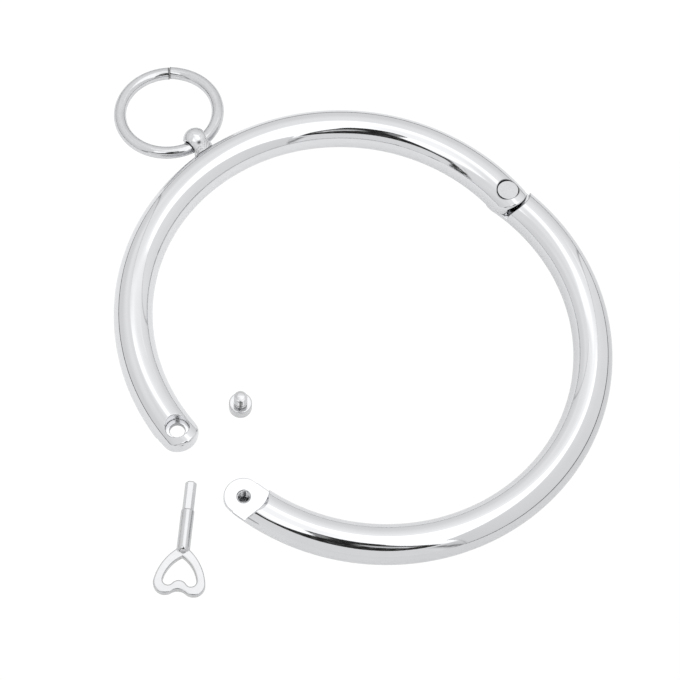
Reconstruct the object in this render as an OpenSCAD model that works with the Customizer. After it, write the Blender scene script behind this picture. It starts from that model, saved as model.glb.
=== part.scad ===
// Hinged neck collar of round polished bar, in two halves, lying open by a few degrees.
// The halves lap at a hinge pin and at a screwed lock. A ring hangs from a ball stud at the front.
// The lock's screw and its key lie beside the collar. Millimetres, floor at z = 0, +Z up.
// The origin is the centre of the front half's circle. The hinge is at -X, the lock at +X.

/* [Collar] */
// Distance across the inside of the closed collar
inner_d = 120; // [100:1:150]
// Thickness of the round bar
bar_d = 12; // [11:0.5:13]
// Angle by which the back half stands open
open_angle = 12.3; // [0:0.1:40]

/* [Lap joints] */
// Radius of the upper tabs' round ends, measured from their holes
tab_r = 6.35; // [6:0.05:6.6]
// Radius of the lower tongues' round ends, measured from their holes
tongue_r = 5.95; // [5.6:0.05:6.2]
// Radius of the hollow seat that faces a tab's round end
seat_r = 9; // [8:0.1:9.5]
// Distance of the seat's centre from the hole, towards the tab's end
seat_shift = 1.9; // [1.2:0.05:2.2]
// Play between the two lapped faces
lap_gap = 0.12; // [0.06:0.02:0.3]
// Height of the counterbores' floor above the lap plane
ledge_h = 2; // [1.6:0.1:2.4]

/* [Hinge pin] */
// Diameter of the pin's upper head
pin_head_d = 6.8; // [6:0.1:7]
// Height of the pin's flat face above the lap plane
pin_face_h = 5.2; // [4.8:0.1:5.4]
// Diameter of the pin's shank
pin_shank_d = 4; // [3.5:0.1:4.4]
// Diameter of the pin's lower head
pin_foot_d = 5.8; // [5.2:0.1:6]
// Height of the pin's lower head
pin_foot_h = 1.6; // [1.2:0.1:2]

/* [Lock] */
// Diameter of the screw's head
screw_head_d = 7; // [6.6:0.1:7]
// Height of the screw's head
screw_head_h = 4; // [3.6:0.1:4]
// Diameter over the screw's thread
thread_d = 4; // [3.8:0.1:4]
// Distance from one thread ridge to the next
thread_pitch = 0.7; // [0.6:0.05:0.8]
// Length of the threaded shank
shank_l = 5; // [4:0.5:6]
// Width across the flats of the screw's socket and of the key's tip
hex_af = 3; // [2.8:0.1:3]
// Depth of the screw's socket
socket_deep = 2.1; // [1.5:0.1:2.5]
// Diameter of the counterbore that takes the screw's head
head_seat_d = 7.3; // [7.2:0.1:7.6]
// Diameter of the clear hole under the counterbore
clear_d = 4.6; // [4.3:0.1:4.8]
// Diameter of the tapped hole in the back half
tapped_d = 4.1; // [4:0.1:4.2]
// Depth of the tapped hole
tapped_deep = 5; // [4:0.1:5.2]

/* [Ball stud] */
// Diameter of the ball
ball_d = 8.1; // [8:0.1:8.6]
// Distance of the ball's centre from the bar's surface
ball_out = 5.4; // [5.2:0.1:5.6]
// Diameter of the neck between bar and ball
neck_d = 7; // [6.8:0.1:7.4]
// Angle by which the stud leans towards the hinge
stud_lean = 4.8; // [0:0.1:6]
// Distance of the cross hole from the bar's surface
eye_out = 4.2; // [4.1:0.1:4.5]
// Depth of the cross hole's middle below the bar's middle
eye_drop = 0.8; // [0:0.1:1]
// Diameter of the cross hole
eye_d = 4.9; // [4.8:0.1:5]
// Width between the two milled flats
flats_w = 5.6; // [5.2:0.1:5.8]
// Distance of the middle between the flats from the stud's foot, towards the hinge
flats_shift = 0.3; // [0:0.1:0.5]

/* [Front ring] */
// Distance across the inside of the ring
loop_inner_d = 27.8; // [26:0.1:30]
// Thickness of the ring's wire
wire_d = 4; // [3.8:0.1:4]
// Width of the hairline seam where the wire's ends meet
seam_w = 0.15; // [0.1:0.05:0.4]
// Place of the seam, as an angle round the ring from +X
seam_at = 232; // [200:1:340]
// Distance by which the ring has slid through the cross hole, towards the hinge
loop_slide = 0.8; // [0:0.1:0.8]

/* [Key] */
// Diameter of the key's shank
key_shank_d = 4; // [3.8:0.1:4.2]
// Length of the shank's straight part
key_shank_l = 11.4; // [10:0.2:13]
// Length of the hexagonal tip
key_tip_l = 9; // [7:0.5:10]
// Thickness of the heart-shaped bow
bow_t = 2.6; // [2:0.1:3]

/* [Loose pieces] */
// Where the lock screw stands, from the origin along +X
screw_x = 44.5; // [40:0.1:46]
// Where the lock screw stands, from the origin along +Y
screw_y = 3.2; // [0:0.1:6]
// Where the step of the key's shank lies, along +X
key_x = 77.75; // [77.5:0.05:90]
// Where the step of the key's shank lies, along +Y
key_y = 20.3; // [15:0.1:25]
// Direction in which the key's tip points, from +X
key_turn = 226.05; // [220:0.1:232]

/* [Hidden] */
$fn = 96;

steel = "gainsboro";
bright_steel = "whitesmoke";

bar_r = bar_d / 2;
ring_r = inner_d / 2 + bar_r;
mid_z = bar_r;
over = 1;
tab_angle = 7;

ledge_z = mid_z + ledge_h;
pin_shank_play = 0.05;
pin_bore_play = 0.08;
pin_head_play = 0.1;
pin_foot_z = 0.6;
pin_foot_top = pin_foot_z + pin_foot_h;
foot_seat_z = pin_foot_top + 0.1;
head_lift = 0.02;
edge_break = 0.2;

spigot_d = 3;
spigot_deep = 3;
saddle_gap = 0.02;
spot_face_r = 3.6;

loop_r = (loop_inner_d + wire_d) / 2;
eye_z = mid_z - eye_drop;
loop_tilt = asin((eye_z - wire_d / 2) / (2 * loop_r));
seam_angle = 2 * asin(seam_w / 2 / loop_r);

thread_depth = 0.36;
thread_count = floor((shank_l - 1.3) / thread_pitch);
shank_neck_r = thread_d / 2 - thread_depth;

hex_r = hex_af / 2 / cos(30);
tip_round = 0.7;

// Heart sizes in the key's own plane: the tip points to +Y, where the shank is
// Each row: lobe centre x, lobe centre y, lobe radius, side radius, tip y, notch radius
heart_outer = [4.2, -22.6, 3.45, 15.9, -10.8, 3.5];
heart_inner = [3.35, -21.75, 1.6, 11, -14.4, 2.55];

// The half of the bar on the -Y side, with both its tabs in the upper half of its thickness
module bar_half(end_r) {
    difference() {
        translate([0, 0, mid_z])
            rotate_extrude(angle = 180 + 2 * tab_angle, start = 180 - tab_angle)
                translate([ring_r, 0])
                    circle(d = bar_d);
        for (side = [-1, 1])
            translate([side * ring_r, 0, 0])
                lap_cut(end_r);
    }
}

// What is taken off the bar round one hole to leave the round tab and the hollow seat under it
module lap_cut(end_r) {
    difference() {
        translate([-bar_d, 0, -over])
            cube([2 * bar_d, 2 * bar_d, bar_d + 2 * over]);
        translate([0, 0, -2 * over])
            cylinder(r = end_r, h = bar_d + 4 * over);
    }
    translate([0, seat_shift, -over])
        cylinder(r = seat_r, h = mid_z + lap_gap / 2 + over);
    translate([-bar_d, seat_shift, -over])
        cube([2 * bar_d, bar_d, mid_z + lap_gap / 2 + over]);
}

// Turns what is built for the closed collar into the back half's open place
module opened() {
    translate([-ring_r, 0, 0])
        rotate(open_angle)
            translate([ring_r, 0, 0])
                children();
}

// An upright hole or disc at one end of the bar: side -1 is the hinge, 1 is the lock
module at_end(side, z) {
    translate([side * ring_r, 0, z])
        children();
}

// The ball stud's axis: z is the distance out from the bar's surface
module stud_axis(z) {
    translate([0, -ring_r - bar_r, mid_z])
        rotate([90, 0, -stud_lean])
            translate([0, 0, z])
                children();
}

module front_half() {
    color(steel)
        difference() {
            bar_half(tab_r);
            at_end(1, ledge_z)
                cylinder(d = head_seat_d, h = bar_d);
            at_end(1, mid_z)
                cylinder(d = clear_d, h = bar_d);
            at_end(-1, ledge_z)
                cylinder(d = pin_head_d + 2 * pin_head_play, h = bar_d);
            at_end(-1, mid_z)
                cylinder(d = pin_shank_d + 2 * pin_shank_play, h = bar_d);
            stud_axis(-spigot_deep - 0.3)
                cylinder(d = spigot_d + 0.1, h = bar_r);
        }
}

module back_half() {
    color(steel)
        opened()
            difference() {
                translate([0, 0, bar_d])
                    rotate([180, 0, 0])
                        bar_half(tongue_r);
                at_end(1, mid_z - lap_gap / 2 - tapped_deep)
                    cylinder(d = tapped_d, h = bar_d);
                at_end(-1, -over)
                    cylinder(d = pin_shank_d + 2 * pin_bore_play, h = bar_d);
                at_end(-1, -over)
                    cylinder(d = pin_foot_d + 2 * pin_head_play, h = foot_seat_z + over);
            }
}

// Headed pin: a flat upper head in the front half's tab, a riveted foot under the back half's tab
module hinge_pin() {
    color(bright_steel)
        at_end(-1, 0) {
            translate([0, 0, ledge_z + head_lift])
                broken_disc(pin_head_d, mid_z + pin_face_h - ledge_z - head_lift);
            translate([0, 0, pin_foot_top])
                cylinder(d = pin_shank_d, h = ledge_z + head_lift - pin_foot_top);
            translate([0, 0, pin_foot_z])
                cylinder(d = pin_foot_d, h = pin_foot_h);
        }
}

// A disc whose upper edge is broken by a small cone
module broken_disc(d, h) {
    cylinder(d = d, h = h - edge_break);
    translate([0, 0, h - edge_break])
        cylinder(d1 = d, d2 = d - 2 * edge_break, h = edge_break, $fn = 96);
}

// Ball stud at the front, standing out of the bar, with a cross hole between two flats
module ball_stud() {
    color(bright_steel)
        difference() {
            union() {
                stud_axis(-bar_r)
                    cylinder(d = neck_d, h = bar_r + ball_out);
                stud_axis(ball_out)
                    sphere(d = ball_d);
            }
            difference() {
                translate([0, 0, mid_z])
                    rotate_extrude()
                        translate([ring_r, 0])
                            circle(r = bar_r + saddle_gap);
                stud_axis(-spigot_deep)
                    cylinder(d = spigot_d, h = bar_r);
            }
            across_eye(0)
                cylinder(d = eye_d, h = 2 * ball_d, center = true);
            for (side = [-1, 1])
                across_eye(side * (flats_w + ball_d) / 2)
                    cylinder(r = spot_face_r, h = ball_d, center = true);
        }
}

// The cross hole's axis: z is the distance along +X from the middle between the flats
module across_eye(z) {
    translate([-flats_shift, -ring_r - bar_r - eye_out, eye_z])
        rotate([0, 90, 0])
            translate([0, 0, z])
                children();
}

// Split ring through the stud's cross hole, its far side lying on the floor
module front_ring() {
    color(bright_steel)
        translate([-loop_slide, -ring_r - bar_r - eye_out, eye_z])
            rotate([loop_tilt, 0, 0])
                translate([0, -loop_r, 0])
                    rotate_extrude(angle = 360 - seam_angle, start = seam_at + seam_angle / 2)
                        translate([loop_r, 0])
                            circle(d = wire_d);
}

// Socket screw standing on its head, its shank turned with ridges at the thread's pitch
module lock_screw() {
    root_z = screw_head_h + 0.4;
    tip_z = screw_head_h + shank_l;
    ridges = [for (i = [0 : thread_count - 1]) each [
        [thread_d / 2, root_z + (i + 0.1) * thread_pitch],
        [thread_d / 2, root_z + (i + 0.3) * thread_pitch],
        [shank_neck_r, root_z + (i + 0.65) * thread_pitch],
        [shank_neck_r, root_z + (i + 0.8) * thread_pitch]]];
    color(bright_steel)
        translate([screw_x, screw_y, 0])
            difference() {
                rotate_extrude()
                    polygon(concat(
                        [[0, 0], [screw_head_d / 2 - 2 * edge_break, 0],
                         [screw_head_d / 2, 2 * edge_break],
                         [screw_head_d / 2, screw_head_h - edge_break],
                         [screw_head_d / 2 - edge_break, screw_head_h],
                         [shank_neck_r, screw_head_h], [shank_neck_r, root_z]],
                        ridges,
                        [[shank_neck_r, tip_z], [0, tip_z]]));
                translate([0, 0, -over])
                    cylinder(r = hex_r, h = socket_deep + over, $fn = 6);
            }
}

// Points along an arc, round centre c with radius r, from angle a to angle b
function arc(c, r, a, b, steps) =
    [for (i = [0 : steps]) c + r * [cos(a + (b - a) * i / steps), sin(a + (b - a) * i / steps)]];

// Left-hand meeting point of two circles
function meet(p, rp, q, rq) =
    let (d = norm(q - p), u = (q - p) / d, along = (d * d + rp * rp - rq * rq) / (2 * d))
    p + along * u - sqrt(rp * rp - along * along) * [-u[1], u[0]];

function bearing(from, to) = atan2(to[1] - from[1], to[0] - from[0]);

// Right side of a heart, from its tip down to the middle of its notch
function heart_side(h) =
    let (
        lobe = [h[0], h[1]], lobe_r = h[2], side_r = h[3], tip = [0, h[4]], notch_r = h[5],
        side = meet(tip, side_r, lobe, side_r - lobe_r),
        notch = [0, h[1] - sqrt((lobe_r + notch_r) ^ 2 - h[0] ^ 2)])
    concat(
        arc(side, side_r, bearing(side, tip), bearing(side, lobe), 10),
        arc(lobe, lobe_r, bearing(side, lobe), bearing(lobe, notch), 12),
        arc(notch, notch_r, bearing(notch, lobe), 90, 6));

module heart(h) {
    right = heart_side(h);
    last = len(right) - 1;
    polygon(concat(right, [for (i = [last : -1 : 0]) [-right[i][0], right[i][1]]]));
}

// Key built with its step at the origin and its tip along +Y, its bow and shank flat on the floor
module key() {
    color(bright_steel)
        translate([key_x, key_y, 0])
            rotate(key_turn - 90) {
                translate([0, 0, key_shank_d / 2])
                    key_stem();
                linear_extrude(bow_t)
                    difference() {
                        heart(heart_outer);
                        heart(heart_inner);
                    }
            }
}

module key_stem() {
    translate([0, -key_shank_l, 0])
        sphere(d = key_shank_d);
    rotate([90, 0, 0])
        cylinder(d = key_shank_d, h = key_shank_l);
    intersection() {
        rotate([-90, 30, 0])
            cylinder(r = hex_r, h = key_tip_l, $fn = 6);
        rotate([-90, 0, 0]) {
            cylinder(r = hex_r + 0.1, h = key_tip_l - tip_round);
            translate([0, 0, key_tip_l - tip_round])
                cylinder(r1 = hex_r + 0.1, r2 = hex_r + 0.1 - tip_round, h = tip_round, $fn = 96);
        }
    }
}

front_half();
back_half();
hinge_pin();
ball_stud();
front_ring();
lock_screw();
key();
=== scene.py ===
import math
import bpy
import numpy as np
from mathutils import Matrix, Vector


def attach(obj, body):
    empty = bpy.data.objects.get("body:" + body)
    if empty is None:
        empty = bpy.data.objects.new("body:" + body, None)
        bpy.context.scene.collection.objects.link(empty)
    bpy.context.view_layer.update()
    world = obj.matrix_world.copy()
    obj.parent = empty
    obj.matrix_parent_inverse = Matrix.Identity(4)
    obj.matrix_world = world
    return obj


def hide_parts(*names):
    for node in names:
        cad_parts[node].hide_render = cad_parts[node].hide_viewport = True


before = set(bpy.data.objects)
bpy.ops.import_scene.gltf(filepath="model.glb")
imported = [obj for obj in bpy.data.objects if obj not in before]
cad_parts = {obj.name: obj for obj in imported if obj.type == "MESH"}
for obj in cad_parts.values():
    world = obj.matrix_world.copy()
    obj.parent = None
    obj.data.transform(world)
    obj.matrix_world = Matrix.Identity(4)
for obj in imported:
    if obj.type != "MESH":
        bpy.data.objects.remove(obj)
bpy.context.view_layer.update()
print("frame loaded:", ", ".join(sorted(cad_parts)))

mm = 0.001                                    # every size below is in millimetres

camera = {
    "place": (193.37, 183.16, 543.58),
    "turn": (25.291, -3.269, 140.553),        # degrees
    "focalLength": 102.49,
    "sensor": 36.0,
}


def addCamera(settings):
    data = bpy.data.cameras.new("photoCamera")
    data.lens = settings["focalLength"]
    data.sensor_width = settings["sensor"]
    data.clip_start = 0.01
    eye = bpy.data.objects.new("photoCamera", data)
    eye.location = Vector(settings["place"]) * mm
    eye.rotation_euler = [math.radians(angle) for angle in settings["turn"]]
    bpy.context.collection.objects.link(eye)
    bpy.context.scene.camera = eye


addCamera(camera)
bpy.context.scene.view_settings.view_transform = "Standard"
bpy.context.scene.view_settings.look = "None"
print("camera set")


# wraps one socket, so that shader maths reads as maths
class Wire:
    def __init__(self, tree, socket=None):
        self.tree = tree
        self.socket = socket

    def node(self, kind, settings=None, sockets=None, output=0):
        made = self.tree.nodes.new(kind)
        for name, value in (settings or {}).items():
            if name == "stops":
                ramp = made.color_ramp
                while len(ramp.elements) < len(value):
                    ramp.elements.new(0.5)
                for element, (position, grey) in zip(ramp.elements, value):
                    element.position = position
                    element.color = (grey, grey, grey, 1)
            else:
                setattr(made, name, value)
        for name, value in (sockets or {}).items():
            if isinstance(value, Wire):
                self.tree.links.new(value.socket, made.inputs[name])
            else:
                made.inputs[name].default_value = value
        return Wire(self.tree, made.outputs[output] if made.outputs else None)

    def maths(self, operation, first, second):
        return self.node("ShaderNodeMath", {"operation": operation}, {0: first, 1: second})

    def __add__(self, other):
        return self.maths("ADD", self, other)

    def __radd__(self, other):
        return self.maths("ADD", other, self)

    def __sub__(self, other):
        return self.maths("SUBTRACT", self, other)

    def __rsub__(self, other):
        return self.maths("SUBTRACT", other, self)

    def __mul__(self, other):
        return self.maths("MULTIPLY", self, other)

    def __rmul__(self, other):
        return self.maths("MULTIPLY", other, self)


def bareMaterial(name):
    material = bpy.data.materials.new(name)
    material.use_nodes = True
    material.node_tree.nodes.clear()
    return material, Wire(material.node_tree)


polishedSteel = {
    "dark": (0.650, 0.656, 0.670, 1), "bright": (0.695, 0.699, 0.713, 1),
    "roughness": 0.045, "smudge": 0.03,
    "wave": 0.010, "waveSize": 5.0,           # slow unevenness left by the polishing wheel
    "scratch": 0.004, "scratchSize": 0.25, "grain": 0.3, "grainSize": 0.9,
}
turnedSteel = {
    "dark": (0.530, 0.536, 0.549, 1), "bright": (0.665, 0.669, 0.682, 1),
    "roughness": 0.05, "smudge": 0.05,
    "wave": 0.016, "waveSize": 2.0,
    "scratch": 0.010, "scratchSize": 0.18, "grain": 1.2, "grainSize": 0.45,
}
studSteel = {
    "dark": (0.590, 0.596, 0.609, 1), "bright": (0.735, 0.739, 0.752, 1),
    "roughness": 0.045, "smudge": 0.05,
    "wave": 0.014, "waveSize": 2.0,
    "scratch": 0.008, "scratchSize": 0.18, "grain": 1.0, "grainSize": 0.45,
}
screwSteel = {
    "dark": (0.545, 0.548, 0.558, 1), "bright": (0.675, 0.678, 0.688, 1),
    "roughness": 0.14, "smudge": 0.08,
    "wave": 0.010, "waveSize": 1.2,
    "scratch": 0.008, "scratchSize": 0.12, "grain": 0.9, "grainSize": 0.4,
}
keySteel = {
    "dark": (0.520, 0.523, 0.532, 1), "bright": (0.615, 0.618, 0.627, 1),
    "roughness": 0.13, "smudge": 0.07,
    "wave": 0.015, "waveSize": 1.5,
    "scratch": 0.010, "scratchSize": 0.12, "grain": 0.6, "grainSize": 0.5,
}


# wear of the steel; its darkening mark is mostly painted shade, laid into creases, grooves, gaps and
# holes
steelWearAndShade = {
    "cloudSize": 9.0, "cloudMiddle": 0.4,     # large patches of dark and bright
    "shadeAndGrimeDark": 0.95, "shadeAndGrimeRough": 0.1,     # what the full painted shade and grime mark does to colour and roughness
    "machinedRough": 0.14,
    "bump": 0.5,
}


# noise with patches of about the size given
def noise(wire, place, size, detail, roughness=0.5):
    return wire.node("ShaderNodeTexNoise", {}, {
        "Vector": place, "Scale": 1 / (size * mm), "Detail": detail, "Roughness": roughness})


def steelMaterial(name, look):
    wearAndShade = steelWearAndShade
    material, wire = bareMaterial(name)
    place = wire.node("ShaderNodeTexCoord", output="Object")
    cloud = noise(wire, place, wearAndShade["cloudSize"], 4.0, 0.6)
    wave = noise(wire, place, look["waveSize"], 2.0, 0.4)
    scratch = noise(wire, place, look["scratchSize"], 3.0)
    grain = noise(wire, place, look["grainSize"], 2.0)
    # painted shade: a mark per point darkens the colour where shade falls in creases, grooves, gaps and
    # holes; on the stud's weld and the ring's seam it is their own darker tone
    grime = wire.node("ShaderNodeAttribute", {"attribute_name": "grime"}, output="Fac")
    machined = wire.node("ShaderNodeAttribute", {"attribute_name": "machined"}, output="Fac")
    colour = wire.node("ShaderNodeMix", {"data_type": "RGBA"}, {
        "Factor": cloud + (grain - 0.5) * look["grain"], 6: look["dark"], 7: look["bright"]}, output=2)
    colour = wire.node("ShaderNodeVectorMath", {"operation": "SCALE"}, {
        0: colour, "Scale": 1 - grime * wearAndShade["shadeAndGrimeDark"]})
    smudge = (cloud - wearAndShade["cloudMiddle"]) * look["smudge"] + (scratch - 0.5) * look["smudge"]
    roughness = look["roughness"] + smudge + machined * wearAndShade["machinedRough"] + grime * wearAndShade["shadeAndGrimeRough"]
    height = wave * look["wave"] + scratch * look["scratch"]
    bump = wire.node("ShaderNodeBump", {}, {"Strength": wearAndShade["bump"], "Distance": mm, "Height": height})
    surface = wire.node("ShaderNodeBsdfPrincipled", {}, {
        "Base Color": colour, "Metallic": 1.0, "Roughness": roughness, "Normal": bump})
    wire.node("ShaderNodeOutputMaterial", {}, {"Surface": surface})
    return material


# the stud has its own finish, a brighter one than the turned steel
finishes = {
    "polished_bar": steelMaterial("polishedSteel", polishedSteel),
    "turned_steel": steelMaterial("turnedSteel", turnedSteel),
    "stud_steel": steelMaterial("studSteel", studSteel),
    "screw_steel": steelMaterial("screwSteel", screwSteel),
    "key_steel": steelMaterial("keySteel", keySteel),
}
print("materials made")


# a piece is shaped by a field, which is negative inside the metal and gives the distance to its skin

# inside both, with the edge between them rounded
def roundBoth(a, b, radius):
    u = np.maximum(a + radius, 0)
    v = np.maximum(b + radius, 0)
    return np.minimum(np.maximum(a, b), -radius) + np.hypot(u, v)


# inside either, with a fillet where they meet
def roundEither(a, b, radius):
    u = np.maximum(radius - a, 0)
    v = np.maximum(radius - b, 0)
    return np.maximum(np.minimum(a, b), radius) - np.hypot(u, v)


# distance from a hexagon's middle, square to its flats, two of which face up and down
def hexagon(across, up):
    across, up = np.abs(across), np.abs(up)
    return np.maximum(across * math.sin(math.pi / 3) + up * 0.5, up)


# one line for each step of each stretch, which is its start, end and step
def gridLines(stretches):
    lines = [np.arange(start, stop, step) for start, stop, step in stretches]
    return np.append(np.concatenate(lines), stretches[-1][1])


def gridOf(piece):
    return [gridLines(piece[name]) for name in ("gridX", "gridY", "gridZ")]


def slopeOf(field, points, reach=0.01):
    slope = np.empty_like(points)
    for axis in range(3):
        nudge = np.zeros(3)
        nudge[axis] = reach
        slope[:, axis] = (field(points + nudge) - field(points - nudge)) / (2 * reach)
    return slope


# moves points onto the zero surface of a field, by no more than the longest move each time
def settle(field, points, times, longest=0.2, flattest=0.05):
    for _ in range(times):
        slope = slopeOf(field, points)
        steep = np.maximum((slope ** 2).sum(1), flattest)
        move = -slope * (field(points) / steep)[:, None]
        points = points + np.clip(move, -longest, longest)
    return points


# quads over the zero surface of a field, which is read on a grid that may be bent round
def skinOf(field, lines, bend=lambda points: points, relax=2, evenness=0.6):
    grid = bend(np.stack(np.meshgrid(*lines, indexing="ij"), -1))
    shape = grid.shape[:3]
    value = field(grid.reshape(-1, 3)).reshape(shape)
    inside = value < 0
    cells = tuple(count - 1 for count in shape)
    total = np.zeros((math.prod(cells), 3))
    hits = np.zeros(math.prod(cells))
    quads = []
    for axis in range(3):
        second, third = (axis + 1) % 3, (axis + 2) % 3
        low, high = [slice(None)] * 3, [slice(None)] * 3
        low[axis], high[axis] = slice(0, -1), slice(1, None)
        start = np.argwhere(inside[tuple(low)] != inside[tuple(high)])
        end = start.copy()
        end[:, axis] += 1
        before, after = value[tuple(start.T)], value[tuple(end.T)]
        share = (before / (before - after))[:, None]
        crossing = grid[tuple(start.T)] * (1 - share) + grid[tuple(end.T)] * share
        around = []
        for backSecond, backThird in ((1, 1), (0, 1), (0, 0), (1, 0)):
            cell = start.copy()
            cell[:, second] -= backSecond
            cell[:, third] -= backThird
            flat = np.ravel_multi_index(tuple(cell.T), cells)
            np.add.at(total, flat, crossing)
            np.add.at(hits, flat, 1)
            around.append(flat)
        quad = np.stack(around, 1)
        quad[before > 0] = quad[before > 0][:, ::-1]
        quads.append(quad)
    used, faces = np.unique(np.concatenate(quads), return_inverse=True)
    faces = faces.reshape(-1, 4)
    points = settle(field, total[used] / hits[used][:, None], 3)
    for _ in range(relax):                    # evens out the quads, then lays them back on the skin
        around, count = np.zeros_like(points), np.zeros(len(points))
        for corner in range(4):
            here, there = faces[:, corner], faces[:, (corner + 1) % 4]
            np.add.at(around, here, points[there])
            np.add.at(count, here, 1)
        evened = points * (1 - evenness) + around / count[:, None] * evenness
        points = settle(field, evened, 2)
    normals = slopeOf(field, points)
    normals /= np.linalg.norm(normals, axis=1)[:, None]
    a, b, c = points[faces[:, 0]], points[faces[:, 1]], points[faces[:, 2]]
    if (np.cross(b - a, c - a) * normals[faces[:, 0]]).sum() < 0:
        faces = faces[:, ::-1]
    return points, faces, normals


def smoothStep(value):
    share = np.clip(value, 0, 1)
    return share * share * (3 - 2 * share)


# 1 where a distance is nil, fading to 0 at the reach
def near(distance, reach):
    return 1 - smoothStep(np.abs(distance) / reach)


# 1 well within a limit, fading to 0 at it
def within(distance, limit, fade):
    return smoothStep((limit - distance) / fade)


# 0 in the roots of a thread and 1 on its crests
def threadRidge(x, y, z, s):
    turn = np.arctan2(y, x) / (2 * math.pi)
    ridge = np.abs(np.mod(z / s["threadPitch"] - turn, 1.0) * 2 - 1)
    return np.clip(ridge * s["ridgeSlope"] - s["ridgeFoot"], 0, 1)


# turns points about an upright axis
def turned(points, degrees, centre=(0, 0)):
    c, s = math.cos(math.radians(degrees)), math.sin(math.radians(degrees))
    x, y = points[:, 0] - centre[0], points[:, 1] - centre[1]
    return np.stack([centre[0] + c * x - s * y, centre[1] + s * x + c * y, points[:, 2]], 1)


# one number for each point of a mesh, which its material reads by name
def storeValues(mesh, columns):
    for name, values in columns.items():
        column = mesh.attributes.new(name, "FLOAT", "POINT")
        column.data.foreach_set("value", values.astype(np.float32))


# marks are painted shade and grime, which darkens, and machined, which dulls, both from 0 to 1
def addPiece(name, points, faces, normals, body, node, slot, marks, finish=None):
    mesh = bpy.data.meshes.new(name)
    mesh.from_pydata((np.asarray(points) * mm).tolist(), [], [list(face) for face in faces])
    mesh.shade_smooth()
    mesh.normals_split_custom_set_from_vertices(np.asarray(normals).tolist())
    mesh.materials.append(finishes[finish or slot])
    storeValues(mesh, marks)
    piece = bpy.data.objects.new(name, mesh)
    bpy.context.collection.objects.link(piece)
    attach(piece, body)
    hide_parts(node)
    print(name, len(faces), "faces")


# the two halves of the bar

collar = {
    "ringRadius": 66.0, "barRadius": 6.0, "middle": 6.0, "openAngle": 12.3,
    "tabRadius": 6.35, "tongueRadius": 5.95, "tabRounding": 0.75, "lapHeight": 6.06,
    "seatRadius": 9.0, "seatShift": 1.9, "seatRounding": 0.35, "closeSeat": 6.25, "closeReach": 1.0,
    "ledge": 8.0, "headSeat": 3.65, "screwHole": 2.3, "holeRounding": 0.15,
    "pinSeat": 3.5, "pinHole": 2.05, "pinBore": 2.08, "footSeat": 3.0, "footLedge": 2.3,
    "threadOuter": 2.05, "threadInner": 1.66, "threadPitch": 0.7, "threadFloor": 0.94, "threadMouth": 0.1,
    "ridgeSlope": 1.6, "ridgeFoot": 0.3, "threadEase": 0.8, "tapRounding": 0.06,
}
# painted shade in the gaps, corners, holes and seats, and how far it spreads
collarMarks = {
    "pinGroove": 0.9, "pinGrooveOut": 0.05, "pinGrooveReach": 0.3,
    "headCorner": 0.6, "headCornerReach": 0.35, "screwHole": 0.45, "holeEdge": 0.2, "holeFade": 0.15,
    "studFoot": 0.8, "studFootReach": 0.45, "machinedEdge": 0.1,
    "threadTurns": 0.28, "threadDepth": 0.18, "threadDeep": 4.5, "threadEdge": 0.12,
    "threadMachined": 0.6,
    "lockSeat": 0.35, "hingeSeat": 0.65, "seatReach": 0.3, "seatFade": 0.2,
}
# where the grid that the bar is read on is fine or coarse: start, end and step of each stretch
barGrid = {
    "across": ((59.6, 63.6, 0.26), (63.6, 68.4, 0.16), (68.4, 72.4, 0.26)),
    "frontUp": ((-0.3, 5.5, 0.27), (5.5, 6.6, 0.1), (6.6, 12.4, 0.26)),
    "backUp": ((-0.3, 0.7, 0.25), (0.7, 6.6, 0.11), (6.6, 12.4, 0.26)),
    # round the ring, in degrees
    "frontRound": ((173.0, 188.5, 0.17), (188.5, 351.5, 1.3), (351.5, 367.0, 0.17)),
    "backRound": ((-7.0, -2.3, 0.17), (-2.3, 2.3, 0.115), (2.3, 8.5, 0.17), (8.5, 171.5, 1.3),
                  (171.5, 187.0, 0.17)),
}


# the bar on the -Y side, with a round tab in its upper half at each end
# a close seat hugs the other half's tongue, but for the hinge's outer side, where that half swings
def lappedBar(x, y, z, endRadius, closeSeat=None):
    s = collar
    bar = np.hypot(np.hypot(x, y) - s["ringRadius"], z - s["middle"]) - s["barRadius"]
    across = np.abs(x) - s["ringRadius"]
    tab = np.minimum(y, np.hypot(across, y) - endRadius)
    seat = np.minimum(np.hypot(across, y - s["seatShift"]) - s["seatRadius"], s["seatShift"] - y)
    if closeSeat:
        hug = np.minimum(np.hypot(across, y) - closeSeat, -y)
        seat = np.minimum(hug, np.maximum(seat, x + s["ringRadius"] - s["closeReach"]))
    step = np.maximum(z - s["lapHeight"], seat)
    return roundBoth(roundBoth(bar, tab, s["tabRounding"]), -step, s["seatRounding"])


def frontHalf(p):
    s = collar
    x, y, z = p[:, 0], p[:, 1], p[:, 2]
    atLock = np.hypot(x - s["ringRadius"], y)
    atHinge = np.hypot(x + s["ringRadius"], y)
    above = s["ledge"] - z
    holes = np.minimum(np.maximum(atLock - s["headSeat"], above), atLock - s["screwHole"])
    holes = np.minimum(holes, np.maximum(atHinge - s["pinSeat"], above))
    holes = np.minimum(holes, atHinge - s["pinHole"])
    bar = lappedBar(x, y, z, s["tabRadius"], s["closeSeat"])
    return roundBoth(bar, -holes, s["holeRounding"])


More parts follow.
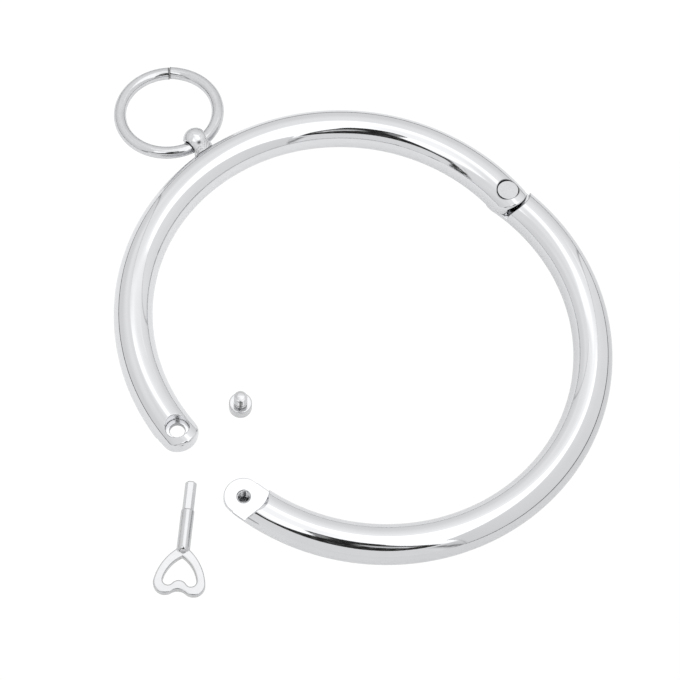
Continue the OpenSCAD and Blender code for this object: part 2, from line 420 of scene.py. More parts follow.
def frontMarks(p):
    s, m = collar, collarMarks
    x, y, z = p[:, 0], p[:, 1], p[:, 2]
    atLock = np.hypot(x - s["ringRadius"], y)
    atHinge = np.hypot(x + s["ringRadius"], y)
    atStud = np.hypot(x, z - s["middle"]) + np.maximum(y + s["ringRadius"], 0)
    # painted shade: a dark ring in the gap round the pin's head, a dark line in the corner of the screw's
    # seat, a darker wall in the screw's hole and a dark crease at the stud's foot
    groove = near(atHinge - s["pinSeat"] - m["pinGrooveOut"], m["pinGrooveReach"])
    groove = groove * smoothStep(z - s["ledge"])
    corner = near(np.hypot(atLock - s["headSeat"], z - s["ledge"]), m["headCornerReach"])
    bore = within(atLock, s["screwHole"] + m["holeEdge"], m["holeFade"])
    foot = near(atStud - stud["neckRadius"], m["studFootReach"])
    grime = np.maximum.reduce([m["pinGroove"] * groove, m["headCorner"] * corner,
                               m["screwHole"] * bore, m["studFoot"] * foot])
    machined = within(atLock, s["headSeat"] + m["machinedEdge"], m["machinedEdge"])
    return {"grime": grime, "machined": machined}


# as it lies when the collar is closed
def backHalf(p):
    s = collar
    x, y, z = p[:, 0], p[:, 1], p[:, 2]
    atLock = np.hypot(x - s["ringRadius"], y)
    atHinge = np.hypot(x + s["ringRadius"], y)
    ridge = threadRidge(x - s["ringRadius"], y, z, s)
    wall = s["threadInner"] + (s["threadOuter"] - s["threadInner"]) * ridge
    mouth = 2 * s["middle"] - s["lapHeight"] - z
    wall = np.maximum(wall, s["threadOuter"] + s["threadMouth"] - mouth)
    tapped = np.maximum((atLock - wall) * s["threadEase"], s["threadFloor"] - z)
    holes = np.minimum(tapped, atHinge - s["pinBore"])
    holes = np.minimum(holes, np.maximum(atHinge - s["footSeat"], z - s["footLedge"]))
    bar = lappedBar(x, -y, 2 * s["middle"] - z, s["tongueRadius"])
    return roundBoth(bar, -holes, s["tapRounding"])


def backMarks(p):
    s, m = collar, collarMarks
    x, y, z = p[:, 0], p[:, 1], p[:, 2]
    atLock = np.hypot(x - s["ringRadius"], y)
    # painted shade in the tapped hole, in rings and darker deeper in, and a dark band on the seat wall in
    # the gap beside the other half's tab, darker on the hinge side
    inside = within(atLock, s["threadOuter"] + m["threadEdge"], m["machinedEdge"])
    depth = within(z, s["middle"], m["threadDeep"])
    turns = 0.5 + 0.5 * np.sin(math.pi * z / s["threadPitch"])
    seat = np.hypot(np.abs(x) - s["ringRadius"], y + s["seatShift"]) - s["seatRadius"]
    wall = near(seat, m["seatReach"]) * smoothStep((z - s["middle"]) / m["seatFade"]) * (y > 0)
    wall = wall * np.where(x < 0, m["hingeSeat"], m["lockSeat"])
    grime = np.maximum(inside * (m["threadTurns"] * turns + m["threadDepth"] * depth), wall)
    return {"grime": grime, "machined": m["threadMachined"] * inside}


# bends grid lines of degree, radius and height round the ring
def roundRing(p):
    angle = np.radians(p[..., 0])
    return np.stack([p[..., 1] * np.cos(angle), p[..., 1] * np.sin(angle), p[..., 2]], -1)


def buildHalves():
    lines = {name: gridLines(stretches) for name, stretches in barGrid.items()}
    frontLines = (lines["frontRound"], lines["across"], lines["frontUp"])
    backLines = (lines["backRound"], lines["across"], lines["backUp"])
    points, faces, normals = skinOf(frontHalf, frontLines, roundRing)
    addPiece("frontHalfBar", points, faces, normals, "front", "front_half", "polished_bar",
             frontMarks(points))
    points, faces, normals = skinOf(backHalf, backLines, roundRing)
    marks = backMarks(points)
    hinge = (-collar["ringRadius"], 0)
    points = turned(points, collar["openAngle"], hinge)
    normals = turned(normals, collar["openAngle"])
    addPiece("backHalfBar", points, faces, normals, "back", "back_half", "polished_bar", marks)


# the hinge pin

pin = {
    "headRadius": 3.4, "headTop": 11.2, "headBottom": 8.02, "headRounding": 0.18,
    "shankRadius": 2.0, "shankMiddle": 5.0, "shankHalf": 4.0,
    "footRadius": 2.9, "footTop": 2.2, "footBottom": 0.6, "footRounding": 0.3,
    "edgeShade": 0.85, "edgeWidth": 0.14, "edgeFade": 0.08, "machined": 0.3,
    "gridX": ((-69.7, -62.3, 0.16),), "gridY": ((-3.7, 3.7, 0.16),),
    "gridZ": ((0.3, 2.6, 0.13), (2.6, 7.7, 0.4), (7.7, 11.5, 0.13)),
}


def hingePin(p):
    s = pin
    x, y, z = p[:, 0], p[:, 1], p[:, 2]
    out = np.hypot(x + collar["ringRadius"], y)
    middle = (s["headTop"] + s["headBottom"]) / 2
    head = np.abs(z - middle) - (s["headTop"] - s["headBottom"]) / 2
    head = roundBoth(out - s["headRadius"], head, s["headRounding"])
    shank = np.maximum(out - s["shankRadius"], np.abs(z - s["shankMiddle"]) - s["shankHalf"])
    foot = np.abs(z - (s["footTop"] + s["footBottom"]) / 2) - (s["footTop"] - s["footBottom"]) / 2
    foot = roundBoth(out - s["footRadius"], foot, s["footRounding"])
    return np.minimum(np.minimum(head, shank), foot)


def buildPin():
    s = pin
    points, faces, normals = skinOf(hingePin, gridOf(s))
    out = np.hypot(points[:, 0] + collar["ringRadius"], points[:, 1])
    # painted shade: a dark line round the head's rim, in the gap to its seat
    edge = smoothStep((out - s["headRadius"] + s["edgeWidth"]) / s["edgeFade"])
    marks = {"grime": s["edgeShade"] * edge, "machined": np.full(len(points), s["machined"])}
    addPiece("hingePinTurned", points, faces, normals, "front", "hinge_pin", "turned_steel", marks)


# the ball stud and the ring through it

stud = {
    "lean": 4.8,                              # degrees, towards the hinge
    "neckRadius": 3.5, "ballRadius": 4.05, "ballOut": 5.4,
    "eyeOut": 4.2, "eyeDrop": 0.8, "eyeRadius": 2.7,
    "flatMiddle": -0.3, "flatHalf": 2.8, "flatRadius": 3.6, "saddleGap": 0.02,
    "eyeRounding": 0.2, "flatRounding": 0.12, "neckFillet": 0.3, "footRounding": 0.15,
    "eyeShade": 0.97, "eyeEdge": 0.35, "eyeFade": 0.15, "footShade": 0.8, "footReach": 0.35,
    "weldGrime": 0.45, "weldOut": 2.3, "weldFade": 0.8, "weldPatch": 1.6, "machinedOut": 2.6,
    "shadeSpot": (0.4, 2.35), "shadeSpotReach": 1.1,      # a painted dark spot of shade on top, beside the ball; no hollow is modelled there
    "gridX": ((-4.9, 4.1, 0.12),), "gridY": ((-81.8, -68.6, 0.13),), "gridZ": ((1.5, 10.5, 0.13),),
}


def ballStud(p):
    s = stud
    surface = collar["ringRadius"] + collar["barRadius"]
    x, y, z = p[:, 0], p[:, 1], p[:, 2] - collar["middle"]
    lean = math.radians(s["lean"])
    out = -(x * math.sin(lean) + (y + surface) * math.cos(lean))
    aside = x * math.cos(lean) - (y + surface) * math.sin(lean)
    ball = np.sqrt(aside ** 2 + (out - s["ballOut"]) ** 2 + z ** 2) - s["ballRadius"]
    neck = np.maximum(np.hypot(aside, z) - s["neckRadius"], out - s["ballOut"])
    body = roundEither(ball, neck, s["neckFillet"])
    fromEye = np.hypot(y + surface + s["eyeOut"], z + s["eyeDrop"])
    flats = np.maximum(s["flatHalf"] - np.abs(x - s["flatMiddle"]), fromEye - s["flatRadius"])
    body = roundBoth(body, -flats, s["flatRounding"])
    body = roundBoth(body, s["eyeRadius"] - fromEye, s["eyeRounding"])
    bar = np.hypot(np.hypot(x, y) - collar["ringRadius"], z) - collar["barRadius"]
    return roundBoth(body, np.maximum(s["saddleGap"] - bar, y + collar["ringRadius"]), s["footRounding"])


def studMarks(p):
    s = stud
    surface = collar["ringRadius"] + collar["barRadius"]
    x, y, z = p[:, 0], p[:, 1], p[:, 2] - collar["middle"]
    out = -(y + surface)
    fromEye = np.hypot(out - s["eyeOut"], z + s["eyeDrop"])
    fromBar = np.hypot(np.hypot(x, y) - collar["ringRadius"], z) - collar["barRadius"]
    # painted shade inside the eye, along the foot against the bar and in a spot on top; the weld's
    # patches are the weld's own uneven tone
    between = within(np.abs(x - s["flatMiddle"]), s["flatHalf"], s["eyeFade"])
    eye = within(fromEye, s["eyeRadius"] + s["eyeEdge"], s["eyeFade"]) * between
    foot = near(fromBar, s["footReach"])
    patches = np.sin(7 * x + 4 * z) * np.sin(8 * z - 6 * out)        # uneven, as a weld is
    weld = within(out, s["weldOut"], s["weldFade"]) * smoothStep(patches * s["weldPatch"])
    shadeSpot = near(np.hypot(x - s["shadeSpot"][0], out - s["shadeSpot"][1]), s["shadeSpotReach"]) * (z > 0)
    grime = np.maximum.reduce([s["eyeShade"] * eye, s["footShade"] * foot, s["weldGrime"] * weld, shadeSpot])
    return {"grime": grime, "machined": within(out, s["machinedOut"], s["weldFade"])}


def buildStud():
    points, faces, normals = skinOf(ballStud, gridOf(stud))
    addPiece("ballStudTurned", points, faces, normals, "front", "ball_stud", "turned_steel",
             studMarks(points), "stud_steel")


loop = {
    "middleRadius": 15.9, "wireRadius": 2.0, "hang": (-0.8, -76.2, 5.2), "tilt": 5.776,
    "seamPlace": 232.0, "seamWidth": 0.16, "seamStep": 0.25, "seamStepLength": 26.0,
    "seamGrime": 0.95, "seamEdge": 0.15, "seamReach": 0.3,
    "endRounding": 0.2, "endRows": 5, "stations": 300, "sides": 56,
}


# wire swept round from one end to the other, its ends butted with a small step
def buildLoop():
    s = loop
    half = math.degrees(s["seamWidth"] / 2 / s["middleRadius"])
    edge = math.degrees(s["endRounding"] / s["middleRadius"])
    rounding = [(edge * (1 - math.cos(a)), s["endRounding"] * (1 - math.sin(a)), a)
                for a in np.linspace(0, math.pi / 2, s["endRows"])]
    rows = [(half + along, inset, a) for along, inset, a in rounding]
    between = np.linspace(half + edge, 360 - half - edge, s["stations"])[1:-1]
    rows += [(angle, 0.0, None) for angle in between]
    rows += [(360 - half - along, inset, math.pi - a) for along, inset, a in reversed(rounding)]
    fromSeam = np.radians([min(row[0], 360 - row[0]) for row in rows]) * s["middleRadius"]
    dirt = near(np.maximum(fromSeam - s["seamEdge"], 0), s["seamReach"])
    grime = s["seamGrime"] * np.repeat(dirt, s["sides"])
    points, normals = [], []
    tilt = math.radians(s["tilt"])
    for place, inset, cap in rows:
        angle = math.radians(s["seamPlace"] + place)
        late = max(0.0, 1 - (360 - place) / s["seamStepLength"]) ** 2
        middle = s["middleRadius"] + s["seamStep"] * late
        for side in range(s["sides"]):
            turn = 2 * math.pi * side / s["sides"]
            out = middle + (s["wireRadius"] - inset) * math.cos(turn)
            up = (s["wireRadius"] - inset) * math.sin(turn)
            outward = math.cos(turn) * (1 if cap is None else math.sin(cap))
            along = 0.0 if cap is None else -math.cos(cap)
            upward = math.sin(turn) * (1 if cap is None else math.sin(cap))
            x, y = out * math.cos(angle), out * math.sin(angle) - s["middleRadius"]
            nx = outward * math.cos(angle) - along * math.sin(angle)
            ny = outward * math.sin(angle) + along * math.cos(angle)
            points.append((x, y, up))
            normals.append((nx, ny, upward))
    points, normals = np.array(points), np.array(normals)
    for rowsOf in (points, normals):
        y, z = rowsOf[:, 1].copy(), rowsOf[:, 2].copy()
        rowsOf[:, 1] = y * math.cos(tilt) - z * math.sin(tilt)
        rowsOf[:, 2] = y * math.sin(tilt) + z * math.cos(tilt)
    points += np.array(s["hang"])
    sides, count = s["sides"], len(rows)
    faces = [(row * sides + k, row * sides + (k + 1) % sides,
              (row + 1) * sides + (k + 1) % sides, (row + 1) * sides + k)
             for row in range(count - 1) for k in range(sides)]
    faces.append(tuple(range(sides - 1, -1, -1)))
    faces.append(tuple(range((count - 1) * sides, count * sides)))
    faces = [face[::-1] for face in faces]
    marks = {"grime": grime, "machined": np.zeros(len(points))}
    addPiece("frontRingWire", points, faces, normals, "ring", "front_ring", "turned_steel", marks)


# the lock screw, standing on its head

screw = {
    "place": (44.5, 3.2), "headRadius": 3.5, "headHeight": 4.0, "headRounding": 0.45,
    "threadOuter": 2.0, "threadInner": 1.62, "threadPitch": 0.7, "ridgeSlope": 1.5, "ridgeFoot": 0.2,
    "threadFrom": 0.5, "threadFade": 0.4, "threadEase": 0.75, "length": 5.0,
    "point": 0.55, "crown": 4.5, "crownRounding": 0.1, "shankFrom": 1.0, "rootFillet": 0.25,
    "socketHalf": 1.5, "socketDeep": 2.1, "socketCone": 0.4, "socketRounding": 0.12,
    "rootShade": 0.15, "rootIn": 0.12, "rootFade": 0.2,
    "baseShade": 0.1, "baseOut": 0.1, "baseReach": 0.35,
    "threadStartShade": 0.5, "grooveUp": 1.1, "grooveReach": 0.25, "grooveOut": 0.3,
    "sideDarkening": 0.08, "sideFade": 0.2, "sideMachined": 0.5,
    "rimShade": 0.2, "rimRadius": 1.3, "rimReach": 0.35, "rimHeight": 8.3,
    "gridX": ((-3.7, -2.2, 0.15), (-2.2, 2.2, 0.1), (2.2, 3.7, 0.15)),
    "gridY": ((-3.7, -2.2, 0.15), (-2.2, 2.2, 0.1), (2.2, 3.7, 0.15)),
    "gridZ": ((-0.2, 4.2, 0.14), (4.2, 9.2, 0.09)),
}


def lockScrew(p):
    s = screw
    x, y, z = p[:, 0], p[:, 1], p[:, 2]
    out = np.hypot(x, y)
    half = s["headHeight"] / 2
    head = roundBoth(out - s["headRadius"], np.abs(z - half) - half, s["headRounding"])
    ridge = threadRidge(x, y, z, s)
    ridge = ridge * np.clip((z - s["headHeight"] - s["threadFrom"]) / s["threadFade"], 0, 1)
    top = s["headHeight"] + s["length"]
    radius = s["threadInner"] + (s["threadOuter"] - s["threadInner"]) * ridge
    radius = np.minimum(radius, s["threadOuter"] - s["point"] + (top - z))
    crown = np.sqrt(out ** 2 + (z - top + s["crown"]) ** 2) - s["crown"]
    shank = roundBoth((out - radius) * s["threadEase"], crown, s["crownRounding"])
    shank = np.maximum(shank, s["shankFrom"] - z)
    body = roundEither(head, shank, s["rootFillet"])
    cone = s["socketDeep"] + s["socketCone"] * (s["socketHalf"] - out)
    socket = np.maximum(hexagon(x, y) - s["socketHalf"], z - cone)
    return roundBoth(body, -socket, s["socketRounding"])


def buildScrew():
    s = screw
    points, faces, normals = skinOf(lockScrew, gridOf(s))
    out, up = np.hypot(points[:, 0], points[:, 1]), points[:, 2] - s["headHeight"]
    atTip = points[:, 2] > s["rimHeight"]
    # painted shade: darker thread roots, a dark line at the shank's foot, a dark ring where the thread
    # starts (no groove is modelled there) and a darker rim inside the socket; the head's side is made a
    # little darker
    root = within(out, s["threadOuter"] - s["rootIn"], s["rootFade"]) * (up > 0) * ~atTip
    base = near(np.hypot(out - s["threadInner"] - s["baseOut"], up), s["baseReach"])
    groove = near(up - s["grooveUp"], s["grooveReach"]) * (out < s["threadOuter"] + s["grooveOut"])
    side = smoothStep((out - s["headRadius"] + s["sideFade"]) / s["sideFade"])
    rim = near(out - s["rimRadius"], s["rimReach"]) * atTip
    grime = np.maximum.reduce([s["rootShade"] * root, s["baseShade"] * base, s["threadStartShade"] * groove,
                               s["sideDarkening"] * side, s["rimShade"] * rim])
    points[:, :2] += s["place"]
    addPiece("lockScrewTurned", points, faces, normals, "front", "lock_screw", "screw_steel",
             {"grime": grime, "machined": s["sideMachined"] * side})


# the key, built with its step at the origin and its tip along +Y, then turned into place

key = {
    "place": (77.75, 20.3), "turn": 136.05, "shankRadius": 2.0, "shankLength": 11.4,
    "tipHalf": 1.5, "tipLength": 9.0, "tipFrom": -2.0, "tipRounding": 0.5, "tipFillet": 0.1,
    "stepRounding": 0.3, "stepShade": 0.5, "stepReach": 0.25, "stepIn": 0.1,
    "bowFrom": -9.0, "bowThickness": 2.6, "bowRounding": 0.5, "braze": 0.4,
    # radii of lobe, side and notch, and the places of the lobe's middle and the tip
    "outer": {"lobeX": 4.2, "lobeY": -22.6, "lobe": 3.45, "side": 15.9, "tipY": -10.8, "notch": 3.5},
    "inner": {"lobeX": 3.35, "lobeY": -21.75, "lobe": 1.6, "side": 11.0, "tipY": -14.4, "notch": 2.55},
    "gridX": ((-8.0, 8.0, 0.17),), "gridY": ((-26.4, 9.3, 0.17),), "gridZ": ((-0.2, 4.25, 0.15),),
}


def bearing(start, end):
    return math.atan2(end[1] - start[1], end[0] - start[0])


def arcPoints(centre, radius, start, end, steps):
    return [(centre[0] + radius * math.cos(a), centre[1] + radius * math.sin(a))
            for a in np.linspace(start, end, steps)]


# right-hand side of a heart, from its tip to the middle of its notch
def heartOutline(lobeX, lobeY, lobe, side, tipY, notch):
    centre, tip = np.array([lobeX, lobeY]), np.array([0.0, tipY])
    gap = np.linalg.norm(centre - tip)
    unit = (centre - tip) / gap
    along = (gap ** 2 + side ** 2 - (side - lobe) ** 2) / (2 * gap)
    sideCentre = tip + along * unit - math.sqrt(side ** 2 - along ** 2) * np.array([-unit[1], unit[0]])
    notchCentre = np.array([0.0, lobeY - math.sqrt((lobe + notch) ** 2 - lobeX ** 2)])
    points = arcPoints(sideCentre, side, bearing(sideCentre, tip), bearing(sideCentre, centre), 14)
    points += arcPoints(centre, lobe, bearing(sideCentre, centre), bearing(centre, notchCentre), 30)[1:]
    points += arcPoints(notchCentre, notch, bearing(notchCentre, centre), math.pi / 2, 10)[1:]
    return np.array(points)


# distance to an outline, negative inside it
def outlineField(x, y, outline):
    flat = np.stack([x, y], 1)
    distance = np.full(len(flat), 1e9)
    inside = np.zeros(len(flat), bool)
    for a, b in zip(outline[:-1], outline[1:]):
        edge, away = b - a, flat - a
        share = np.clip(away @ edge / (edge @ edge), 0, 1)
        distance = np.minimum(distance, np.hypot(*(away - share[:, None] * edge).T))
        spans = (a[1] > flat[:, 1]) != (b[1] > flat[:, 1])
        reach = a[0] + (flat[:, 1] - a[1]) * edge[0] / (edge[1] if edge[1] else 1e-9)
        inside ^= spans & (flat[:, 0] < reach)
    return np.where(inside, -distance, distance)


outerHeart, innerHeart = heartOutline(**key["outer"]), heartOutline(**key["inner"])


def heartKey(p):
    s = key
    x, y, z = p[:, 0], p[:, 1], p[:, 2] - s["shankRadius"]
    out = np.hypot(x, z)
    shank = np.hypot(out, np.minimum(y + s["shankLength"], 0)) - s["shankRadius"]
    shank = roundBoth(shank, y, s["stepRounding"])
    tip = roundBoth(hexagon(x, z) - s["tipHalf"], y - s["tipLength"], s["tipRounding"])
    tip = np.maximum(tip, s["tipFrom"] - y)
    stem = roundEither(shank, tip, s["tipFillet"])
    half = s["bowThickness"] / 2
    atBow = y < s["bowFrom"]
    side = np.abs(x[atBow])
    heart = np.full(len(p), 9.0)              # well outside it
    heart[atBow] = np.maximum(outlineField(side, y[atBow], outerHeart),
                              -outlineField(side, y[atBow], innerHeart))
    bow = roundBoth(heart, np.abs(p[:, 2] - half) - half, s["bowRounding"])
    return roundEither(stem, bow, s["braze"])


def buildKey():
    s = key
    points, faces, normals = skinOf(heartKey, gridOf(s), relax=1)
    out = np.hypot(points[:, 0], points[:, 2] - s["shankRadius"])
    # painted shade: a dark line round the step where the thin tip meets the thicker shank
    step = near(points[:, 1], s["stepReach"]) * (out < s["shankRadius"] - s["stepIn"])
    marks = {"grime": s["stepShade"] * step, "machined": np.zeros(len(points))}
    points, normals = turned(points, s["turn"]), turned(normals, s["turn"])
    points[:, :2] += s["place"]
    addPiece("heartKeyBrazed", points, faces, normals, "front", "key", "key_steel", marks)


for build in (buildPin, buildHalves, buildStud, buildLoop, buildScrew, buildKey):
    build()


# the table and the light tent round it, which the steel mirrors
# places in the tent are degrees from overhead, towards +X and towards +Y

studio = {
    "paperGlow": 0.90, "paperWhite": 0.14,    # the table as the camera sees it
    "underGlow": 0.44, "underWhite": 0.78,    # the table as the steel mirrors it
    "northFall": 0.15, "northFrom": -50.0, "northTo": 110.0,     # it gets duller towards +Y
    "westFall": 0.06, "westFrom": 10.0, "westTo": 70.0,          # and towards -X
    "seenHalf": 3000.0, "mirroredHalf": 1200.0,
    "tentRadius": 1050.0, "tentStep": 0.5, "tentFoot": 91.0,     # step and foot in degrees
    "mottleSize": 40.0, "mottleFloor": 0.55, "mottleGain": 5.0,
    "skyStops": [(0.0, 0.80), (0.12, 0.88), (0.35, 0.93), (0.8, 1.0)], "skyStrength": 1.05,
}

tentWest, tentSouth, tentNorth = (-285.0, 5.0), (6.0, -288.0), (52.0, 342.0)
tentHigh = 425.0

# the three cloth walls near the collar: an outline is (share of the way from start to end, height)
# rise is its glow by height, nearStart and nearEnd scale it along the wall
# solid is 1 for cloth that hides what is behind it, and less where its lower part is thin
tentWalls = (
    {"name": "wallLeft", "start": tentWest, "end": tentNorth,
     "outline": ((0, 0), (1, 0), (1, 360), (0.34, 380), (0.14, tentHigh), (0, tentHigh)),
     "rise": [(0.0, 0.90), (0.1, 0.94), (0.5, 0.97), (1.0, 0.98)],
     "nearStart": 1.09, "nearEnd": 0.95, "solid": 1.0},
    {"name": "wallBack", "start": tentWest, "end": tentSouth,
     "outline": ((0, 0), (1, 0), (1, tentHigh), (0, tentHigh)),
     "rise": [(0.0, 0.80), (0.1, 0.90), (0.33, 1.05), (0.57, 1.10), (0.9, 1.20), (1.0, 1.32)],
     "nearStart": 1.03, "nearEnd": 0.97, "solid": 0.45},
    {"name": "wallRight", "start": tentSouth, "end": (270.0, -20.0),
     "outline": ((0, 0), (1, 0), (1, 265), (0.63, tentHigh), (0, tentHigh)),
     "rise": [(0.0, 0.88), (0.1, 0.93), (0.33, 1.01), (0.57, 1.06), (0.9, 1.12), (1.0, 1.16)],
     "nearStart": 0.97, "nearEnd": 0.92, "solid": 0.45},
)

wallCloth = {
    "seamWidth": 7.0, "seamDark": 0.52,       # along both upright edges
    "skirtHeight": 14.0, "skirtDark": 0.08,   # along the foot
    "thinTo": 170.0, "solidFrom": 300.0,      # a thin wall turns solid between these heights
    "foldScale": 6.0, "foldDark": 0.97, "foldDepth": 0.06,
}

# what is seen past the walls
farGlow = {"overhead": (0, 30, 60, 85, 92), "glow": (1.25, 1.05, 1.04, 1.02, 0.98)}

# outlines in degrees, each laid over the ones before it
# soft is half the width of its faded edge, mottle the strength of its bright specks
farShapes = (
    {"glow": 1.18, "soft": 9.0, "outline": (
        (-42, -16), (-12, -60), (8, -60), (46, -34), (30, -20), (-20, -10))},
    {"glow": 0.93, "soft": 6.0, "outline": (
        (-95, 0), (-70, -8), (-22, -60), (10, -62), (42, -52), (58, -24), (95, -12), (80, -95),
        (-80, -95))},
    {"glow": 1.60, "soft": 3.0, "outline": (
        (-50, -10), (-45, 20), (-12, 52), (6, 57), (10, 57), (16, 30), (32, 20), (42, 15), (46, 9),
        (46, 1), (40, -4), (34, -10), (22, -27), (10, -34), (3, -31), (-5, -27), (-15, -21),
        (-22, -13), (-32, -7))},
    {"glow": 1.36, "soft": 5.0, "outline": (
        (-3, -14), (0, 2), (10, 9), (19, 9), (26, 2), (28, -6), (16, -12))},
    {"glow": 1.10, "soft": 5.0, "outline": (
        (1, -17), (6, -11), (16, -9), (26, -10), (33, -17), (28, -28), (10, -32), (4, -24))},
    {"glow": 0.95, "soft": 3.0, "outline": (
        (57, 8), (86, 10), (78, 48), (54, 70), (24, 86), (22, 58), (34, 50), (45, 36), (54, 22))},
    {"glow": 0.80, "soft": 2.0, "outline": ((7, 95), (20, 95), (21, 58), (9, 57))},
    {"glow": 0.02, "soft": 0.5, "mottle": 0.4, "outline": (
        (12, 53), (12, 46), (12, 40), (13, 33), (13, 26), (11, 20), (13, 14), (16, 9), (20, 8), (24, 10),
        (28, 15), (32, 18), (38, 17), (44, 15), (48, 13), (51, 11), (52, 4), (56, 3), (59, 8), (60, 11),
        (56, 17), (51, 26), (45, 34), (39, 42), (33, 49), (27, 52), (19, 54), (15, 54))},
    {"glow": 0.70, "soft": 2.0, "mottle": 1.5, "outline": (
        (15, 43), (19, 43), (24, 32), (24, 26), (21, 25), (17, 31))},
    {"glow": 0.30, "soft": 1.0, "mottle": 0.6, "outline": (
        (18, 10), (24, 11), (30, 16), (31, 19), (26, 18), (20, 14))},
    {"glow": 0.28, "soft": 1.0, "mottle": 1.2, "outline": (
        (12, 95), (16, 95), (18, 76), (18, 60), (15, 60), (14, 70), (12, 84))},
    {"glow": 0.04, "soft": 1.0, "mottle": 3.0, "outline": (
        (60, 10), (66, 7), (74, 8), (80, 10), (92, 10), (92, -7), (80, -6), (70, -2), (62, 2), (57, 3))},
)


# how bright it is past the walls, and how mottled
def seenFar(east, north):
    glow = np.interp(np.hypot(east, north), farGlow["overhead"], farGlow["glow"])
    mottle = np.zeros_like(glow)
    for shape in farShapes:
        outline = np.array(shape["outline"] + shape["outline"][:1], float)
        share = smoothStep(0.5 - outlineField(east, north, outline) / (2 * shape["soft"]))
        glow += (shape["glow"] - glow) * share
        mottle += (shape.get("mottle", 0.0) - mottle) * share
    return glow, mottle


def addMesh(name, corners, faces, material):
    mesh = bpy.data.meshes.new(name)
    mesh.from_pydata(corners, [], faces)
    mesh.materials.append(material)
    thing = bpy.data.objects.new(name, mesh)
    bpy.context.collection.objects.link(thing)
    return thing


def addTable(name, half, white, glow):
    material, wire = bareMaterial(name)
    paper = wire.node("ShaderNodeBsdfDiffuse", {}, {"Color": (white, white, white, 1)})
    light = wire.node("ShaderNodeEmission", {}, {"Color": (1, 1, 1, 1), "Strength": glow(wire)})
    both = wire.node("ShaderNodeAddShader", {}, {0: paper, 1: light})
    wire.node("ShaderNodeOutputMaterial", {}, {"Surface": both})
    half = half * mm
    corners = [(-half, -half, 0), (half, -half, 0), (half, half, 0), (-half, half, 0)]
    return addMesh(name, corners, [(0, 1, 2, 3)], material)


# 0 below a band of values and 1 above it, with a soft rise between
def bandShare(wire, value, low, high):
    return wire.node("ShaderNodeMapRange", {"interpolation_type": "SMOOTHSTEP"}, {
        "Value": value, "From Min": low, "From Max": high, "To Min": 0.0, "To Max": 1.0})


def hideButMirror(thing):
    thing.visible_camera = False
    thing.visible_diffuse = False
    thing.visible_shadow = False


def addWall(wall):
    s = wallCloth
    start, end = np.array(wall["start"] + (0,)) * mm, np.array(wall["end"] + (0,)) * mm
    length = float(np.linalg.norm(end - start))
    corners = [(share * length, 0, high * mm) for share, high in wall["outline"]]
    material, wire = bareMaterial(wall["name"])
    place = wire.node("ShaderNodeTexCoord", output="Object")
    along = wire.node("ShaderNodeSeparateXYZ", {}, {0: place}, output="X")
    up = wire.node("ShaderNodeSeparateXYZ", {}, {0: place}, output="Z")
    rise = wire.node("ShaderNodeValToRGB", {"stops": wall["rise"]}, {"Fac": up * (1 / (tentHigh * mm))})
    change = wall["nearEnd"] - wall["nearStart"]
    across = wall["nearStart"] + bandShare(wire, along, 0.0, length) * change
    fold = wire.node("ShaderNodeTexNoise", {}, {"Vector": place, "Scale": s["foldScale"], "Detail": 2.0})
    width, skirt = s["seamWidth"] * mm, s["skirtHeight"] * mm
    offSeam = bandShare(wire, along, 0.0, width) * bandShare(wire, length - along, 0.0, width)
    offSkirt = bandShare(wire, up, skirt * 0.5, skirt)
    glow = rise * across * (s["seamDark"] + offSeam * (1 - s["seamDark"]))
    glow = glow * (s["skirtDark"] + offSkirt * (1 - s["skirtDark"]))
    glow = glow * (s["foldDark"] + fold * s["foldDepth"])
    upper = bandShare(wire, up, s["thinTo"] * mm, s["solidFrom"] * mm)
    solid = wall["solid"] + upper * (1 - wall["solid"])
    solid = 1 - (1 - solid) * offSeam * offSkirt
    through = wire.node("ShaderNodeBsdfTransparent")
    own = wire.node("ShaderNodeEmission", {}, {"Color": (1, 1, 1, 1), "Strength": glow})
    both = wire.node("ShaderNodeMixShader", {}, {0: solid, 1: through, 2: own})
    wire.node("ShaderNodeOutputMaterial", {}, {"Surface": both})
    material.cycles.emission_sampling = "NONE"
    cloth = addMesh(wall["name"], corners, [tuple(range(len(corners)))], material)
    cloth.location = start
    cloth.rotation_euler = (0, 0, math.atan2(end[1] - start[1], end[0] - start[0]))
    hideButMirror(cloth)


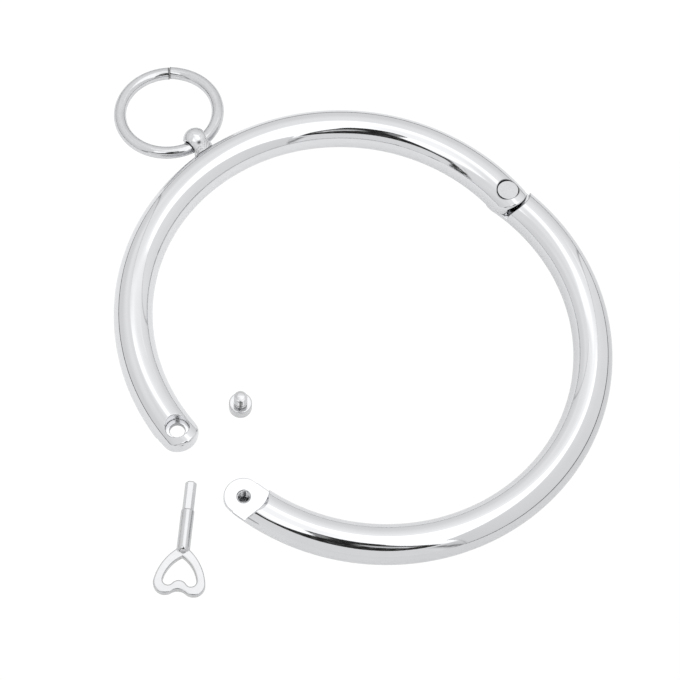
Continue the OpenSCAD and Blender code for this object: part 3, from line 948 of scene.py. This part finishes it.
def addTent():
    s = studio
    overhead = np.arange(0, s["tentFoot"] + s["tentStep"], s["tentStep"])
    azimuth = np.radians(np.arange(0, 360, s["tentStep"]))
    high, around = np.meshgrid(overhead, azimuth, indexing="ij")
    glow, mottle = seenFar((high * np.cos(around)).ravel(), (high * np.sin(around)).ravel())
    lean = np.radians(high)
    radius = s["tentRadius"] * mm
    corners = np.stack([np.sin(lean) * np.cos(around), np.sin(lean) * np.sin(around), np.cos(lean)], -1)
    rows, count = high.shape
    here = (np.arange(rows - 1)[:, None] * count + np.arange(count)[None]).ravel()
    after = (np.arange(rows - 1)[:, None] * count + (np.arange(count)[None] + 1) % count).ravel()
    faces = np.stack([here, after, after + count, here + count], 1)
    material, wire = bareMaterial("tentCloth")
    place = wire.node("ShaderNodeTexCoord", output="Object")
    grain = noise(wire, place, s["mottleSize"], 3.0, 0.7)
    own = wire.node("ShaderNodeAttribute", {"attribute_name": "glow"}, output="Fac")
    rough = wire.node("ShaderNodeAttribute", {"attribute_name": "mottle"}, output="Fac")
    speck = wire.maths("MAXIMUM", (grain - s["mottleFloor"]) * s["mottleGain"], 0.0)
    light = wire.node("ShaderNodeEmission", {}, {"Color": (1, 1, 1, 1), "Strength": own + rough * speck})
    wire.node("ShaderNodeOutputMaterial", {}, {"Surface": light})
    material.cycles.emission_sampling = "NONE"
    tent = addMesh("tent", (corners.reshape(-1, 3) * radius).tolist(), faces.tolist(), material)
    storeValues(tent.data, {"glow": glow, "mottle": mottle})
    hideButMirror(tent)
    for wall in tentWalls:
        addWall(wall)


def addStudio():
    s = studio
    seen = addTable("tableSeen", s["seenHalf"], s["paperWhite"], lambda wire: s["paperGlow"])
    seen.visible_glossy = False
    seen.visible_diffuse = False

    def underGlow(wire):
        place = wire.node("ShaderNodeTexCoord", output="Object")
        x = wire.node("ShaderNodeSeparateXYZ", {}, {0: place}, output="X")
        y = wire.node("ShaderNodeSeparateXYZ", {}, {0: place}, output="Y")
        north = bandShare(wire, y, s["northFrom"] * mm, s["northTo"] * mm) * s["northFall"]
        west = bandShare(wire, 0 - x, s["westFrom"] * mm, s["westTo"] * mm) * s["westFall"]
        return s["underGlow"] - north - west

    mirrored = addTable("tableMirrored", s["mirroredHalf"], s["underWhite"], underGlow)
    mirrored.visible_camera = False
    addTent()

    world = bpy.data.worlds.new("tentLight")
    bpy.context.scene.world = world
    world.use_nodes = True
    world.node_tree.nodes.clear()
    wire = Wire(world.node_tree)
    way = wire.node("ShaderNodeTexCoord", output="Generated")
    height = wire.node("ShaderNodeSeparateXYZ", {}, {0: way}, output="Z")
    grey = wire.node("ShaderNodeValToRGB", {"stops": s["skyStops"]}, {"Fac": height})
    light = wire.node("ShaderNodeBackground", {}, {"Color": grey, "Strength": s["skyStrength"]})
    wire.node("ShaderNodeOutputWorld", {}, {"Surface": light})


addStudio()
print("studio lit")
